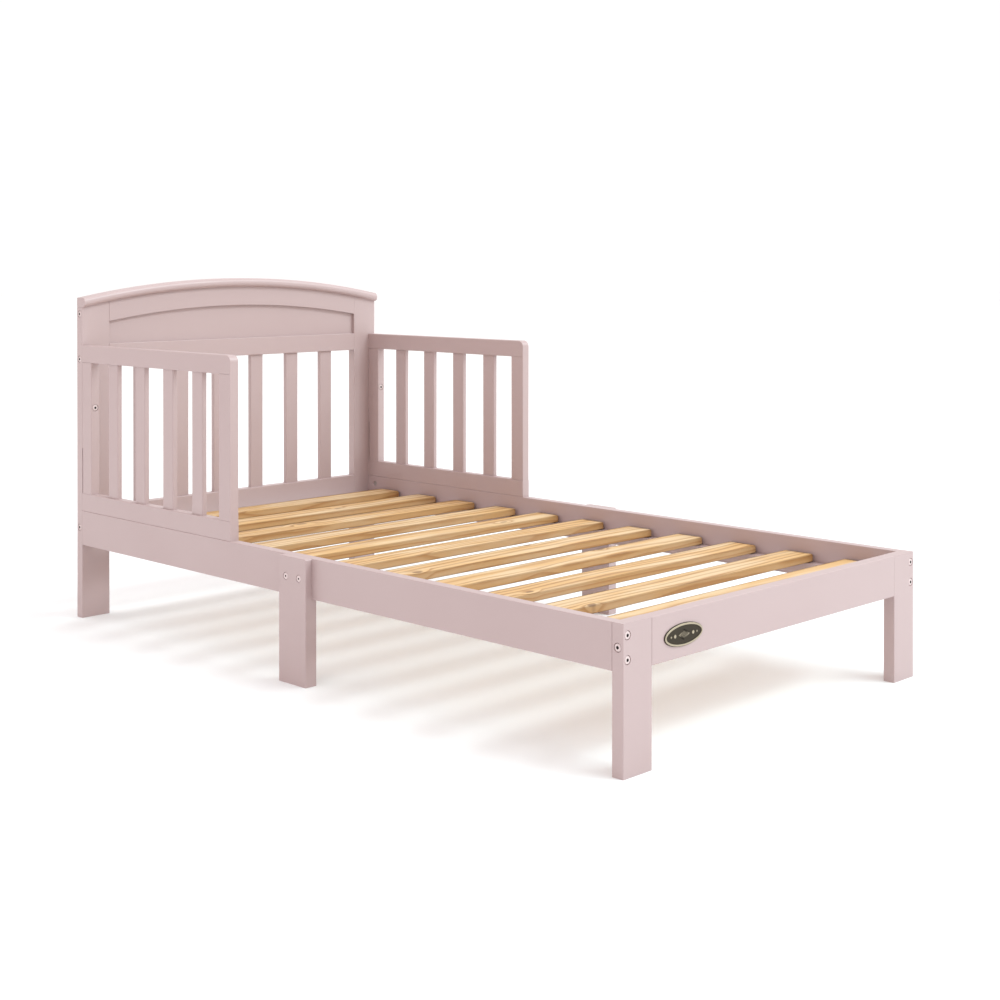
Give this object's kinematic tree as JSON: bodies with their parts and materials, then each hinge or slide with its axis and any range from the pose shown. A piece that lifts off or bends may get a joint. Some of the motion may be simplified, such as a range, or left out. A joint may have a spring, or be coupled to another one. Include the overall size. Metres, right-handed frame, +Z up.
{
  "type": "toddler bed",
  "caption": "Low wooden toddler bed with an arched slatted headboard, spindled side guards at the head, middle legs and a slatted base.",
  "frame": {"origin": "on the floor, at the middle of the bed's bounding box in plan", "axes": "+Z up, +Y along the bed towards the headboard, +X across the bed; the badge is on the -X half of the foot rail's -Y face"},
  "size_m": [0.768, 1.3835, 0.653],
  "materials": {
    "painted_wood": "satin dusty-rose paint over close-grained wood, edges softened",
    "pine": "bare planed pine with amber grain and knots, soft edges",
    "painted_screw": "satin pale-rose paint, dark hexagonal socket",
    "zinc_steel": "zinc plated",
    "badge_bronze": "antique bronze with a dark patina in the field and worn raised edges"
  },
  "bodies": {
    "root": {"badge_plate": "badge_bronze", "barrel_nuts": "zinc_steel", "base_slat_01": "pine", "base_slat_02": "pine", "base_slat_03": "pine", "base_slat_04": "pine", "base_slat_05": "pine", "base_slat_06": "pine", "base_slat_07": "pine", "base_slat_08": "pine", "base_slat_09": "pine", "base_slat_10": "pine", "base_slat_11": "pine", "cross_rail_bolts": "painted_screw", "foot_leg_left": "painted_wood", "foot_leg_right": "painted_wood", "foot_rail": "painted_wood", "guard_back_stile_left": "painted_wood", "guard_back_stile_right": "painted_wood", "guard_bottom_rail_left": "painted_wood", "guard_bottom_rail_right": "painted_wood", "guard_front_stile_left": "painted_wood", "guard_front_stile_right": "painted_wood", "guard_screws": "painted_screw", "guard_spindle_left_1": "painted_wood", "guard_spindle_left_2": "painted_wood", "guard_spindle_left_3": "painted_wood", "guard_spindle_left_4": "painted_wood", "guard_spindle_right_1": "painted_wood", "guard_spindle_right_2": "painted_wood", "guard_spindle_right_3": "painted_wood", "guard_spindle_right_4": "painted_wood", "guard_top_rail_left": "painted_wood", "guard_top_rail_right": "painted_wood", "headboard_arched_rail": "painted_wood", "headboard_bottom_rail": "painted_wood", "headboard_cap": "painted_wood", "headboard_middle_rail": "painted_wood", "headboard_panel": "painted_wood", "headboard_post_left": "painted_wood", "headboard_post_right": "painted_wood", "headboard_slat_1": "painted_wood", "headboard_slat_2": "painted_wood", "headboard_slat_3": "painted_wood", "headboard_slat_4": "painted_wood", "headboard_slat_5": "painted_wood", "headboard_slat_6": "painted_wood", "middle_leg_left": "painted_wood", "middle_leg_right": "painted_wood", "middle_leg_screws": "painted_screw", "side_rail_bolts": "painted_screw", "side_rail_foot_left": "painted_wood", "side_rail_foot_right": "painted_wood", "side_rail_head_left": "painted_wood", "side_rail_head_right": "painted_wood", "slat_ledger_foot_left": "painted_wood", "slat_ledger_foot_right": "painted_wood", "slat_ledger_head_left": "painted_wood", "slat_ledger_head_right": "painted_wood", "slat_screws": "zinc_steel"}
  },
  "joints": []
}
